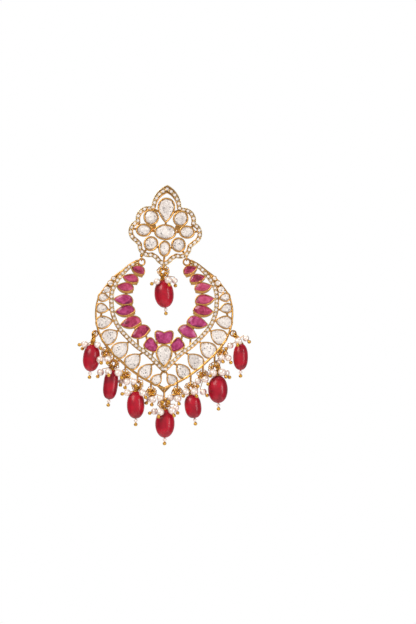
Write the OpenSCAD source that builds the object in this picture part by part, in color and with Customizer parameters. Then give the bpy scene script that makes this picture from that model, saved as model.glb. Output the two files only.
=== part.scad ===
// Chandbali earring: a scalloped stud, a crescent that swings below it, a drop that hangs
// inside the crescent, and seven bead drops with pearl clusters along its lower edge.
// Millimetres. X points right, Y away from the viewer and Z up. The origin is the middle of
// the stud's flat back, where the post leaves it to go through the ear.

/* [Stud] */
// Depth of the stud from its back to the rims round its stones
stud_depth = 2.2; // [2:0.1:2.6]
// Thickness of the settings' walls in the stud
stud_wall = 0.44; // [0.36:0.02:0.5]
// Lean of the stud to the right, in degrees
stud_lean = 2.6; // [0:0.2:3]
// Length of the post behind the stud
post_length = 10; // [8:0.5:12]
// Diameter of the post
post_d = 0.9; // [0.8:0.05:1.1]

/* [Channel of small stones] */
// Width of the channel over both rails
channel_w = 1.5; // [1.45:0.05:1.6]
// Thickness of a rail
rail_w = 0.22; // [0.18:0.02:0.24]
// Depth of the channel from its back to the top of its rails
channel_depth = 1.7; // [1.6:0.05:1.9]
// Diameter of a small stone
pave_d = 0.94; // [0.8:0.02:0.96]
// Spacing of the small stones along the channel
pave_pitch = 1.48; // [1.3:0.02:1.8]

/* [Crescent] */
// Depth of the crescent from its back to the rims of its pear settings
crescent_depth = 2.0; // [1.9:0.1:2.4]
// Thickness of the pear settings' walls
pear_wall = 0.34; // [0.3:0.02:0.4]
// Thickness of the leaf settings' walls
leaf_wall = 0.26; // [0.22:0.02:0.32]
// Depth of a leaf setting
leaf_depth = 1.9; // [1.6:0.1:2.1]
// Width of the strip that runs along the outer edge
edge_w = 0.5; // [0.4:0.05:0.6]
// Depth of that strip
edge_depth = 1.75; // [1.7:0.05:1.9]

/* [Links between stud and crescent] */
// Distance of each link from the crescent's middle
link_x = 7.55; // [7.4:0.05:7.7]
// Radius of the crescent's rings, to the middle of the wire
link_ring_r = 1.08; // [1.04:0.02:1.2]
// Half the thickness of the rings' wire
link_wire_r = 0.3; // [0.26:0.02:0.32]

/* [Drops] */
// Radius of the wire of the hanging loops
hook_wire_r = 0.22; // [0.18:0.02:0.24]
// Radius of the wire of the jump rings
ring_wire_r = 0.17; // [0.14:0.01:0.18]
// Radius of the wire of the head pins through the pearls
pin_r = 0.12; // [0.1:0.01:0.13]
// Radius of the ball at the end of a head pin
ball_r = 0.6; // [0.5:0.02:0.62]

/* [Hidden] */
$fn = 24;
gold = "goldenrod";
ruby = "mediumvioletred";
crimson = "crimson";
pale = "mistyrose";
pearl = "linen";

// Clearance of a stone in its setting, and the fillets that the solder leaves in the corners
seat_gap = 0.04;
solder_r = 0.1;
// Floor of every setting, floor of the channel, and depth of the struts and plates
floor_t = 0.6;
channel_floor = 0.9;
strut_depth = 1.2;
strut_w = 0.7;
// Depth at which the crescent's links and drops hang, in front of the back plane
hang_depth = 1.1;
// The crescent hangs below the leaning stud, a little to the left of its middle
link_z = -10.15;
crescent_x = link_z * sin(stud_lean) + 0.06;
// The stud's loops for the crescent's rings
stud_loop_r = 0.72;
stud_loop_wire_r = 0.24;
link_gap = 0.06;
swing_z = link_z + link_ring_r;
stud_loop_z = swing_z - link_wire_r - link_gap - stud_loop_wire_r + stud_loop_r;
// Points round a stone and steps along curved lines
outline_n = 24;
arc_steps = 10;
spline_steps = 5;

// Stones on the stud's middle line: name, centre x, centre z, length, half width,
// angle of the axis, sharpness of the tip
STUD_MIDDLE = [
    ["stone_top", 0, 7.2, 7.5, 2.45, 270, 0.8],
    ["stone_centre", 0, -0.15, 6.5, 2.2, 0, 0],
    ["stone_bottom", 0, -5.7, 4.5, 1.62, 270, 0.1]
];
// Stones in pairs beside it, the right one given: the same columns
STUD_PAIRS = [
    ["stone_upper", 5.0, 4.65, 4.55, 2.1, 60, 0.15],
    ["stone_side", 7.25, 0.2, 4.4, 1.74, 0, 0],
    ["stone_lower", 4.64, -4.25, 4.15, 1.98, 300, 0.1]
];
// Right half of the stud's border, from the tip down: centre x, centre z, radius,
// first angle, last angle
BORDER_ARCS = [
    [-3.4, 8.0, 7.65, acos(3.4 / 7.65), 2],
    [5.85, 4.0, 3.55, 104, -16],
    [8.2, -0.25, 3.4, 44, -64],
    [5.2, -4.9, 3.15, 6, -110],
    [-0.8, -7.2, 3.6, -26, -acos(0.8 / 3.6)]
];
// Above this height the opening in the band is lower by this share, so the tip is wider
band_tip_from = 8.3;
band_tip_share = 0.84;
// Struts in the right half of the stud: start x, start z, end x, end z
STUD_STRUTS = [
    [4.3, 7.5, 2.3, 6.5],
    [0, 3.6, 0, 2.0],
    [2.9, 0, 5.2, 0.1],
    [9.2, 0.4, 11.4, 0.6],
    [8.2, 1.8, 10.0, 2.7],
    [3.4, -5.0, 1.4, -5.5],
    [5.9, -6.0, 7.0, -7.3],
    [0, -7.6, 0, -10.6]
];
// Plate between the upper, side and middle settings: x, z, radius
STUD_PLATE = [4.25, 1.6, 1.1];

// Right half of the crescent's outer edge from its ring to the bottom: x, z
EDGE_KNOTS = [
    [9.0, -9.6], [13.9, -12.6], [17.3, -15.2], [20.3, -18.8], [22.2, -21.9], [23.1, -26.0],
    [22.9, -30.2], [21.9, -34.2], [19.6, -38.3], [15.8, -42.4], [11.2, -46.5], [5.9, -50.0],
    [0, -52.7]
];
// Right half of the channel's middle line from the ring to the vee: x, z
CHANNEL_KNOTS = [
    [8.9, -10.1], [11.9, -11.9], [14.9, -15.2], [16.6, -17.9], [17.5, -20.5], [17.65, -23.2],
    [17.3, -26.9], [16.4, -29.7], [15.0, -32.3], [12.1, -35.6], [8.9, -38.6], [6.4, -40.3],
    [4.2, -42.3], [0, -46.5]
];
// Pear settings of the right half, from the top: centre x, centre z, length, half width,
// angle of the tip
PEARS = [
    [20.3, -22.0, 3.3, 1.25, 190],
    [20.75, -25.7, 3.7, 1.45, 192],
    [20.1, -30.3, 5.2, 1.95, 170],
    [18.2, -35.05, 5.6, 2.3, 146],
    [14.6, -39.4, 5.8, 2.4, 138],
    [10.4, -43.3, 5.7, 2.3, 136],
    [6.15, -46.65, 5.2, 1.95, 128],
    [2.5, -49.5, 3.8, 1.5, 128]
];
pear_sharpness = 0.7;
// Small round settings above them: x, z, radius of the stone
ROUNDS = [[16.9, -15.6, 0.5], [18.0, -17.2, 0.65], [19.15, -19.4, 0.85]];
round_wall = 0.3;
// Leaf settings of the right half, from the top: tip x, tip z, inner end x, inner end z,
// bulge above, bulge below, turn of the lip about the tip and tilt upwards, both in degrees
LEAVES = [
    [10.8, -11.95, 6.85, -14.1, 1.75, 0.75, 13, 7],
    [13.6, -15.05, 8.85, -16.7, 1.7, 0.85, 9, 7],
    [15.7, -18.15, 10.4, -19.25, 1.65, 1.15, 10, 7],
    [16.6, -22.45, 10.6, -23.65, 2.05, 1.15, 7.5, 6],
    [16.2, -26.75, 9.9, -26.4, 1.9, 1.35, 8.5, 6],
    [14.4, -31.1, 7.8, -30.15, 2.2, 1.3, 6, 5],
    [10.85, -35.1, 4.95, -32.55, 2.15, 1.4, 4, 4]
];
// Sharpness of a leaf's outer tip and inner end, above and below its middle line
LEAF_ENDS = [0.95, 0.15, 0.7, 1.05];
leaf_rim_depth = 2.3;
// Struts in the right half of the crescent: start x, start z, end x, end z
CRESCENT_STRUTS = [
    [7.6, -12.2, 8.9, -10.4],
    [18.6, -22.1, 17.2, -22.4],
    [19.0, -26.0, 17.2, -26.4],
    [20.9, -26.9, 21.4, -28.8],
    [17.8, -30.0, 16.2, -29.7],
    [15.9, -33.4, 14.2, -32.6],
    [12.4, -37.4, 11.0, -36.2],
    [8.2, -41.2, 6.4, -40.0],
    [4.6, -44.8, 2.4, -43.8],
    [1.4, -48.3, 0.2, -46.4],
    [0, -53.8, 2.3, -51.4],
    [9.6, -14.6, 10.6, -15.4],
    [12.0, -17.6, 12.6, -18.0],
    [12.4, -20.0, 12.9, -21.4],
    [12.9, -24.2, 12.7, -25.4],
    [11.9, -27.8, 11.8, -29.2],
    [9.9, -31.6, 9.6, -33.2],
    [8.9, -34.6, 8.7, -38.6],
    [6.4, -33.6, 5.6, -36.6],
    [1.9, -39.6, 3.6, -38.9],
    [3.4, -40.0, 4.4, -42.0],
    [6.4, -38.6, 6.9, -40.0]
];
// The vee's pear: centre z, length, half width
VEE_PEAR = [-41.55, 6.6, 2.35];
vee_wall = 0.44;
// Right petal of the vee, round its edge: x, z
PETAL_SIDE = [
    [3.95, -36.0], [3.2, -36.9], [2.35, -38.2], [2.5, -39.2], [3.15, -40.1], [4.5, -39.75],
    [5.7, -39.2], [6.65, -38.25], [6.15, -37.1], [5.35, -35.95], [4.65, -35.65]
];
// Right half of the top petal, from its dip to its foot: x, z
PETAL_TOP = [[0, -34.05], [1.4, -33.5], [2.4, -33.45], [2.85, -34.1], [2.65, -35.8], [1.85, -37.2]];
petal_foot_z = -37.55;

// Places from which the drops hang, from left to right: x, z of the loop's lowest wire,
// lean of the ring in degrees, turn of the ring, radius of the ring
HANGERS = [
    [-23.6, -34.95, -8, 90, 1.2],
    [-19.3, -40.2, -8, 0, 0.95],
    [-16.9, -43.3, -8, 0, 1.2],
    [-13.0, -47.5, 0, 0, 0.95],
    [-8.9, -50.6, -4, 0, 1.2],
    [-4.4, -53.2, 4, 0, 0.95],
    [0, -56.7, 2, 0, 1.2],
    [4.4, -53.2, -4, 0, 0.95],
    [8.9, -51.55, 2, 0, 1.2],
    [13.0, -47.5, 0, 0, 0.95],
    [16.9, -45.15, 6, 0, 1.2],
    [19.3, -40.2, 8, 0, 0.95],
    [23.9, -34.75, 28, 90, 1.2]
];
// Hangers whose pins go with each bead, counted from 0: first, last
PIN_GROUPS = [[0, 1], [2, 3], [4, 5], [6, 6], [7, 8], [9, 10], [11, 12]];
side_loop_x = 23.15;
side_loop_z = -34.1;
side_loop_r = 0.95;
// Red beads: hanger, centre x, centre z, radius, half length, lean in degrees, fullness
BEADS = [
    [0, -24.4, -42.25, 2.85, 4.6, -5.5, 2.2],
    [2, -17.95, -51.15, 2.45, 5.05, -6.5, 2.6],
    [4, -9.55, -58.0, 2.95, 4.65, 0, 2.2],
    [6, 0.25, -64.25, 3.25, 4.8, -1, 2.1],
    [8, 9.65, -58.45, 2.8, 4.05, 8, 2.4],
    [10, 18.0, -52.75, 3.3, 4.7, 2, 2.1],
    [12, 25.6, -41.9, 2.5, 4.5, 0, 2.3]
];
// The middle drop, measured from the stud: place of its loop, ring, bead and pearls
middle_loop = [-0.52, -12.0];
middle_loop_r = 0.62;
MIDDLE_HANGER = [-0.52, -12.62, -12, 0, 1.2];
MIDDLE_BEAD = [0, -0.45, -20.75, 3.25, 4.75, 5.5, 2.1];
// Pearls: hanger, place on its ring, x, depth in front, z, radius, and how far the ball
// lies from the pearl's middle in x and in z
PEARLS = [
    [0, -0.37, -26.7, 2.0, -37.6, 1.2, -1.64, -0.25],
    [0, 0.74, -26.1, -1.6, -38.5, 1.1, -1.4, -0.7],
    [0, -0.74, -22.25, 3.1, -37.9, 1.1, 1.1, -1.15],
    [1, -0.36, -21.4, 3.9, -42.85, 1.2, 0.45, -1.05],
    [1, 0, -18.9, 2.6, -42.7, 1.15, 0, -1.2],
    [2, -0.74, -21.35, 1.0, -47.1, 1.2, -0.9, -1.4],
    [2, -0.37, -18.6, 4.0, -46.9, 1.15, 0.15, -1.1],
    [2, 0.37, -15.3, 3.4, -47.25, 1.25, 1.1, -1.6],
    [3, 0, -12.5, 2.5, -50.2, 1.2, -0.55, -2.0],
    [3, 0.36, -10.1, 2.9, -50.2, 1.1, 0.75, -1.5],
    [3, -0.36, -14.5, -0.3, -50.2, 1.0, -0.15, -1.2],
    [4, -0.37, -12.3, 2.7, -53.9, 1.15, -1.7, -0.4],
    [4, 0.37, -7.2, 3.4, -53.95, 1.25, 1.05, -1.5],
    [5, -0.36, -5.0, -0.1, -56.2, 1.05, -1.0, -1.2],
    [5, 0, -3.8, 3.0, -56.2, 1.15, -0.3, -1.7],
    [5, 0.36, -1.35, 2.3, -55.7, 1.15, 0.9, -1.4],
    [6, -0.74, -3.25, -0.6, -60.2, 1.2, -1.6, -0.65],
    [6, -0.37, -1.25, 4.6, -60.3, 1.3, -0.55, -1.5],
    [6, 0.37, 2.7, 3.6, -59.9, 1.3, 0.65, -1.6],
    [6, 0.74, 3.9, 0.6, -59.05, 1.1, 0.6, -1.7],
    [7, -0.36, 2.15, 1.0, -55.6, 1.2, -0.7, -1.35],
    [7, 0, 4.55, 2.6, -55.9, 1.25, 0.45, -1.7],
    [8, -0.37, 7.3, 2.6, -53.6, 1.2, -0.85, -1.4],
    [8, 0.37, 10.2, 3.1, -53.6, 1.3, 0.7, -1.4],
    [9, -0.36, 11.35, 0.8, -50.0, 1.15, -0.05, -1.8],
    [9, 0.36, 13.8, 3.0, -49.4, 1.15, 0.95, -1.6],
    [9, 0, 13.1, 1.0, -53.65, 1.15, 1.3, -1.2],
    [10, -0.37, 16.4, 3.05, -47.3, 1.3, -0.95, -1.0],
    [10, 0.37, 19.4, 2.5, -47.1, 1.3, 1.3, -1.5],
    [10, 0.74, 20.8, 0.3, -47.4, 1.2, 1.1, -1.4],
    [11, 0, 19.3, 2.9, -42.2, 1.15, 0.4, -1.3],
    [11, 0.36, 21.5, 1.9, -42.3, 1.1, 0.85, -1.5],
    [11, -0.36, 18.1, -0.5, -43.7, 1.0, 0, -1.5],
    [12, -0.37, 22.15, 1.0, -38.15, 1.1, -1.35, -1.05],
    [12, -0.74, 24.85, 3.4, -36.7, 1.3, -0.2, -1.2],
    [12, 0.37, 27.4, 1.0, -35.7, 1.1, 1.1, -1.2]
];
MIDDLE_PEARLS = [
    [0, -0.37, -2.8, 3.6, -16.7, 1.1, -1.7, -0.75],
    [0, 0.37, 1.1, 3.8, -16.3, 1.25, 0.25, -1.5],
    [0, 0.74, 3.15, 1.0, -16.4, 1.0, 0.2, -1.65]
];
// Eye of a head pin: radius, steps round it, first and last angle from the neck, and neck
loop_r = 0.48;
eye_steps = 8;
eye_from = 40;
eye_to = 330;
eye_neck = 0.15;
bead_pin_r = 0.13;
bead_bore_r = 0.25;
pearl_bore_r = 0.23;
hook_gap = 0.05;
side_hook_gap = 0.2;
hook_half_w = 0.42;
sleeve_r = 0.34;
touch_gap = 0.04;
end_pearl_r = 0.6;
pin_neck = 0.25;

// The stud's stones with the pairs on both sides
function stud_stones() = concat(STUD_MIDDLE, [
    for (s = STUD_PAIRS) each [
        [str(s[0], "_right"), s[1], s[2], s[3], s[4], s[5], s[6]],
        [str(s[0], "_left"), -s[1], s[2], s[3], s[4], 180 - s[5], s[6]]
    ]
]);

// Outline of a stone along X, with its tip at +X: a higher sharpness draws an end to a point
function outline_peak(tip, end) =
    pow((1 + end) / (2 + tip + end), (1 + end) / 2) * pow((1 + tip) / (2 + tip + end), (1 + tip) / 2);
function outline_height(t, tip, end) =
    pow(abs(cos(t / 2)), 1 + end) * pow(abs(sin(t / 2)), 1 + tip) / outline_peak(tip, end);
function two_sided_outline(length, up, low, ends) = [
    for (i = [0:outline_n - 1]) let (t = 360 * i / outline_n) [
        length / 2 * cos(t),
        t < 180 ? up * outline_height(t, ends[0], ends[1]) : -low * outline_height(t, ends[2], ends[3])
    ]
];
function outline(length, half_width, tip = 0) =
    two_sided_outline(length, half_width, half_width, [tip, 0, tip, 0]);

// Smooth line through knots
function spline_point(a, b, c, d, t) =
    0.5 * (2 * b + (c - a) * t + (2 * a - 5 * b + 4 * c - d) * t * t
        + (3 * b - a - 3 * c + d) * t * t * t);
function spline(k) = concat([
    for (i = [0:len(k) - 2], j = [0:spline_steps - 1])
        spline_point(k[max(i - 1, 0)], k[i], k[i + 1], k[min(i + 2, len(k) - 1)], j / spline_steps)
], [k[len(k) - 1]]);
function closed_spline(k) = [
    for (i = [0:len(k) - 1], j = [0:2])
        spline_point(k[(i + len(k) - 1) % len(k)], k[i], k[(i + 1) % len(k)],
            k[(i + 2) % len(k)], j / 3)
];
// A line from the left end, through its last point on the middle line, to the right end
function both_halves(half) =
    concat([for (p = half) [-p[0], p[1]]], [for (i = [len(half) - 2:-1:0]) half[i]]);

// Evenly spaced points along a line, with half a pitch left over at each end
function distances(line, i = 1, sum = [0]) =
    i == len(line) ? sum
        : distances(line, i + 1, concat(sum, [sum[i - 1] + norm(line[i] - line[i - 1])]));
function point_at(line, d, at) =
    [lookup(at, [for (i = [0:len(line) - 1]) [d[i], line[i][0]]]),
        lookup(at, [for (i = [0:len(line) - 1]) [d[i], line[i][1]]])];
function spaced(line, pitch) =
    let (d = distances(line), total = d[len(d) - 1], n = round(total / pitch))
    [for (i = [0:n - 1]) point_at(line, d, (i + 0.5) * total / n)];

border_half = [
    for (a = BORDER_ARCS, i = [0:arc_steps])
        let (t = a[3] + (a[4] - a[3]) * i / arc_steps) [a[0] + a[2] * cos(t), a[1] + a[2] * sin(t)]
];
border_line = concat(
    [for (i = [0:len(border_half) - 1]) [max(border_half[i][0], 0), border_half[i][1]]],
    [for (i = [len(border_half) - 2:-1:1]) [-border_half[i][0], border_half[i][1]]]
);
border_inner_line = [
    for (p = border_line) [p[0], min(p[1], band_tip_from + band_tip_share * (p[1] - band_tip_from))]
];
edge_half = spline(EDGE_KNOTS);
channel_half = spline(CHANNEL_KNOTS);
petal_side = closed_spline(PETAL_SIDE);
petal_half = spline(PETAL_TOP);
petal_top = concat(
    petal_half, [[0, petal_foot_z]],
    [for (i = [len(petal_half) - 1:-1:1]) [-petal_half[i][0], petal_half[i][1]]]
);

// Height of the crescent's lower edge at a distance from the middle
function lower_edge_z(x) =
    lookup(abs(x), [for (i = [len(edge_half) - 1:-1:0]) if (edge_half[i][1] < -28) edge_half[i]]);

// Places on the drops: the ring's middle, a place on the ring, and the bottom of a pin's loop
function down(lean) = [sin(lean), 0, -cos(lean)];
function across(h) = h[3] == 0 ? [cos(h[2]), 0, sin(h[2])] : [0, 1, 0];
function ring_middle(h) =
    let (gap = h[3] == 0 ? hook_gap : side_hook_gap)
    [h[0], -hang_depth, h[1]] + (h[4] - hook_wire_r - ring_wire_r - gap) * down(h[2]);
function on_ring(h, s) = ring_middle(h) + s * across(h) + sqrt(h[4] * h[4] - s * s) * down(h[2]);
function bead_middle_point(b) = [b[1], -hang_depth, b[2]];
function pearl_middle(p) = [p[2], -p[3], p[4]];
// From a pearl's middle to its ball: what the front view doesn't show goes to the front
function to_ball(p) =
    let (reach = p[5] + ball_r + touch_gap, flat = norm([p[6], p[7]]))
    [p[6], -sqrt(max(0, reach * reach - flat * flat)), p[7]];

// Flat shapes
module solder() {
    offset(r = -solder_r) offset(delta = solder_r) children();
}
module both_sides() {
    children();
    mirror([1, 0, 0]) children();
}
module bar(s, width) {
    let (d = [s[2] - s[0], s[3] - s[1]])
    translate([s[0], s[1]]) rotate(atan2(d[1], d[0])) translate([0, -width / 2]) square([norm(d), width]);
}
module stone_flat(x, z, angle, line, grow) {
    translate([x, z]) rotate(angle) offset(delta = grow) polygon(line);
}

// Solids
module plate(from, to) {
    translate([0, -from, 0]) rotate([90, 0, 0]) linear_extrude(to - from) children();
}
module aim(d) {
    rotate([0, acos(d[2] / norm(d)), atan2(d[1], d[0])]) children();
}
module rod(a, b, r) {
    translate(a) aim(b - a) cylinder(h = norm(b - a), r = r);
}
// Round bead with a bore along its axis
module drilled_ball(r, bore) {
    difference() {
        sphere(r = r);
        cylinder(h = 3 * r, r = bore, center = true);
    }
}
module torus(r, wire_r) {
    rotate_extrude() translate([r, 0]) circle(r = wire_r);
}
// Ring that faces the front, and ring seen edge-on whose axis leans
module front_ring(r, wire_r) {
    rotate([90, 0, 0]) torus(r, wire_r);
}
module side_ring(r, wire_r, lean = 0) {
    rotate([0, 90 - lean, 0]) torus(r, wire_r);
}
// Cut stone with a flat back, a girdle and a table, each a ring of the outline's points
module cut_stone(line, back, girdle, table, back_scale = 0.82, table_scale = 0.66) {
    n = len(line);
    rings = concat(
        [for (p = line) [back_scale * p[0], -back, back_scale * p[1]]],
        [for (p = line) [p[0], -girdle, p[1]]],
        [for (p = line) [table_scale * p[0], -table, table_scale * p[1]]],
        [[0, -back, 0], [0, -table, 0]]
    );
    faces = [for (i = [0:n - 1]) let (j = (i + 1) % n) each [
        [i, n + i, n + j, j],
        [n + i, 2 * n + i, 2 * n + j, n + j],
        [3 * n, i, j],
        [3 * n + 1, 2 * n + j, 2 * n + i]
    ]];
    polyhedron(rings, faces);
}
module round_stone(x, z, r, seat, rise) {
    translate([x, 0, z])
        cut_stone(
            [for (i = [0:7]) r * [cos(45 * i), sin(45 * i)]],
            seat, seat + 0.4, seat + rise, 0.5, 0.6
        );
}

// Stud
module stud_stone(s) {
    color(pale) rotate([0, stud_lean, 0]) translate([s[1], 0, s[2]]) rotate([0, -s[5], 0])
        cut_stone(outline(s[3], s[4], s[6]), floor_t + 0.1, stud_depth - 0.45, stud_depth + 0.1);
}
module stud_settings(grow) {
    for (s = stud_stones()) stone_flat(s[1], s[2], s[5], outline(s[3], s[4], s[6]), grow);
}
module border_band(width) {
    difference() {
        offset(delta = width / 2) polygon(border_line);
        offset(delta = -width / 2) polygon(border_inner_line);
    }
}
module stud_struts() {
    both_sides() {
        for (s = STUD_STRUTS) bar(s, strut_w);
        translate([STUD_PLATE[0], STUD_PLATE[1]]) circle(r = STUD_PLATE[2]);
    }
}
module stud_loops() {
    for (side = [-1, 1]) translate([crescent_x + side * link_x, -hang_depth, stud_loop_z]) {
        side_ring(stud_loop_r, stud_loop_wire_r);
        translate([0, 0, stud_loop_r]) cylinder(h = 1, r = 0.3);
    }
    translate([middle_loop[0], -hang_depth, middle_loop[1]]) {
        side_ring(middle_loop_r, hook_wire_r);
        translate([0, 0, middle_loop_r]) cylinder(h = 0.6, r = 0.3);
    }
}
module stud_frame() {
    color(gold) union() {
        rotate([0, stud_lean, 0]) difference() {
            union() {
                plate(0, stud_depth) solder() stud_settings(seat_gap + stud_wall);
                difference() {
                    union() {
                        plate(0.05, channel_depth) solder() border_band(channel_w);
                        plate(0.1, strut_depth) solder() stud_struts();
                    }
                    plate(channel_floor, channel_depth + 1) border_band(channel_w - 2 * rail_w);
                }
            }
            plate(floor_t, stud_depth + 1) solder() stud_settings(seat_gap);
        }
        stud_loops();
    }
}
module ear_post() {
    color(gold) translate([0, 0.02, 0]) rotate([-90, 0, 0]) {
        cylinder(h = 0.5, d = 4);
        cylinder(h = post_length, d = post_d);
    }
}

// Crescent
module leaf_place(l) {
    let (d = [l[0] - l[2], l[1] - l[3]])
    translate([(l[0] + l[2]) / 2, -leaf_rim_depth, (l[1] + l[3]) / 2])
        rotate([0, -atan2(d[1], d[0]), 0]) rotate([-l[7], 0, 0]) children();
}
function leaf_outline(l) =
    two_sided_outline(norm([l[0] - l[2], l[1] - l[3]]), l[4] / cos(l[7]), l[5] / cos(l[7]), LEAF_ENDS);
module leaf_setting(l, grow, from, to) {
    leaf_place(l) plate(from, to) offset(delta = grow) polygon(leaf_outline(l));
}
// Folded lip of the metal that shows below a leaf, a step behind its rim: it grows from the
// outer tip to the inner end
module leaf_lip(l) {
    to_tip = norm([l[0] - l[2], l[1] - l[3]]) / 2;
    leaf_place(l) plate(0.1 - leaf_depth, -0.45)
        translate([to_tip, 0]) rotate(l[6]) translate([-to_tip, 0])
            offset(delta = leaf_wall) polygon(leaf_outline(l));
}
module leaf_stone(i, side) {
    color(ruby) translate([crescent_x, 0, 0]) mirror([side == "left" ? 1 : 0, 0, 0]) leaf_place(LEAVES[i])
        cut_stone(leaf_outline(LEAVES[i]), 0.9 - leaf_depth, -0.35, 0.1, 0.85, 0.6);
}
module pear_flat(p, grow) {
    stone_flat(p[0], p[1], p[4], outline(p[2], p[3], pear_sharpness), grow);
}
function petal_centre(line) = [for (k = [0, 1]) sum_of([for (p = line) p[k]]) / len(line)];
function sum_of(list, i = 0) = i == len(list) ? 0 : list[i] + sum_of(list, i + 1);
module vee_settings(grow) {
    stone_flat(0, VEE_PEAR[0], 270, outline(VEE_PEAR[1], VEE_PEAR[2], 0.8), grow);
}
module petal_settings(grow) {
    both_sides() offset(delta = grow) polygon(petal_side);
    offset(delta = grow) polygon(petal_top);
}
module round_settings(grow) {
    both_sides() for (r = ROUNDS) translate([r[0], r[1]]) circle(r = r[2] + grow);
}
// The open top between the rings, where neither the edge nor the channel runs
module open_top() {
    translate([0, EDGE_KNOTS[0][1]]) square([2 * CHANNEL_KNOTS[0][0] - 0.2, 3.2], center = true);
}
module channel_band(width) {
    difference() {
        offset(delta = width / 2) polygon(both_halves(channel_half));
        offset(delta = -width / 2) polygon(both_halves(channel_half));
        open_top();
    }
}
module edge_strip() {
    difference() {
        polygon(both_halves(edge_half));
        offset(delta = -edge_w) polygon(both_halves(edge_half));
        open_top();
    }
}
// Sheet between the edge and the channel at the top of each arm
module arm_sheet() {
    intersection() {
        difference() {
            polygon(both_halves(edge_half));
            polygon(both_halves(channel_half));
            open_top();
        }
        translate([0, -14.3]) square([60, 9], center = true);
    }
}
module crescent_rings() {
    both_sides() {
        translate([link_x, -hang_depth, link_z]) front_ring(link_ring_r, link_wire_r);
        rod([link_x + link_ring_r, -hang_depth, link_z], [9.4, -hang_depth, -10.45], 0.4);
        translate([side_loop_x, -hang_depth, side_loop_z]) front_ring(side_loop_r, hook_wire_r);
    }
}
// Long loop that hangs edge-on from the lower edge
module hanging_loop(x, bottom_z) {
    top_z = lower_edge_z(x) + 0.2;
    turn_z = bottom_z + hook_half_w;
    for (y = [-hang_depth - hook_half_w, -hang_depth + hook_half_w])
        rod([x, y, turn_z], [x, y, top_z], hook_wire_r);
    rod([x, -hang_depth, turn_z + 0.9], [x, -hang_depth, top_z], sleeve_r);
    translate([x, -hang_depth, turn_z]) rotate([0, 0, 90]) rotate([-90, 0, 0])
        rotate_extrude(angle = 180) translate([hook_half_w, 0]) circle(r = hook_wire_r);
}
module crescent_frame() {
    color(gold) translate([crescent_x, 0, 0]) union() {
        difference() {
            union() {
                plate(0, crescent_depth) solder() {
                    both_sides() for (p = PEARS) pear_flat(p, seat_gap + pear_wall);
                    vee_settings(seat_gap + vee_wall);
                    petal_settings(seat_gap + pear_wall);
                    round_settings(seat_gap + round_wall);
                }
                difference() {
                    union() {
                        plate(0.05, channel_depth) solder() channel_band(channel_w);
                        plate(0.1, strut_depth) solder() {
                            edge_strip();
                            arm_sheet();
                            both_sides() for (s = CRESCENT_STRUTS) bar(s, strut_w);
                        }
                        plate(0.15, edge_depth) edge_strip();
                    }
                    plate(channel_floor, channel_depth + 1) channel_band(channel_w - 2 * rail_w);
                }
                both_sides() for (l = LEAVES) {
                    leaf_setting(l, seat_gap + leaf_wall, -leaf_depth, 0);
                    leaf_lip(l);
                }
                for (i = [1:len(HANGERS) - 2]) hanging_loop(HANGERS[i][0], HANGERS[i][1]);
            }
            plate(floor_t, crescent_depth + 1) solder() {
                both_sides() for (p = PEARS) pear_flat(p, seat_gap);
                vee_settings(seat_gap);
                petal_settings(seat_gap);
                round_settings(seat_gap);
            }
            both_sides() for (l = LEAVES) leaf_setting(l, seat_gap, 0.7 - leaf_depth, 1);
        }
        crescent_rings();
    }
}
module outer_stones(side) {
    color(pale) translate([crescent_x, 0, 0]) mirror([side == "left" ? 1 : 0, 0, 0])
        for (p = PEARS) translate([p[0], 0, p[1]]) rotate([0, -p[4], 0])
            cut_stone(
                outline(p[2], p[3], pear_sharpness),
                floor_t + 0.1, crescent_depth - 0.4, crescent_depth + 0.05
            );
}
module stone_vee() {
    color(pale) translate([crescent_x, 0, VEE_PEAR[0]]) rotate([0, -270, 0])
        cut_stone(
            outline(VEE_PEAR[1], VEE_PEAR[2], 0.8),
            floor_t + 0.1, crescent_depth - 0.4, crescent_depth + 0.15
        );
}
module petal(line, flip) {
    c = petal_centre(line);
    color(ruby) translate([crescent_x, 0, 0]) mirror([flip ? 1 : 0, 0, 0]) translate([c[0], 0, c[1]])
        cut_stone(
            [for (p = line) p - c],
            floor_t + 0.1, crescent_depth - 0.4, crescent_depth + 0.05, 0.85, 0.6
        );
}
module round_stones() {
    color(pale) translate([crescent_x, 0, 0]) both_sides()
        for (r = ROUNDS) round_stone(r[0], r[1], r[2], floor_t + 0.1, 1.35);
}
module crescent_pave() {
    color(pale) translate([crescent_x, 0, 0])
        for (p = spaced(both_halves([for (i = [2:len(channel_half) - 1]) channel_half[i]]), pave_pitch))
            round_stone(p[0], p[1], pave_d / 2, channel_floor + 0.1, 0.75);
}

// Drops
module bead_solid(b) {
    half = [for (i = [0:20]) let (t = 90 - 9 * i)
        [b[3] * pow(abs(cos(t)), 2 / b[6]), b[4] * sign(sin(t)) * pow(abs(sin(t)), 2 / b[6])]];
    color(crimson) translate(bead_middle_point(b)) rotate([0, -b[5], 0]) difference() {
        rotate_extrude() polygon(half);
        cylinder(h = 3 * b[4], r = bead_bore_r, center = true);
    }
}
module end_pearl(b) {
    translate(bead_middle_point(b)) rotate([0, -b[5], 0])
        translate([0, 0, -b[4] - end_pearl_r - touch_gap]) drilled_ball(end_pearl_r, bead_bore_r);
}
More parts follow.
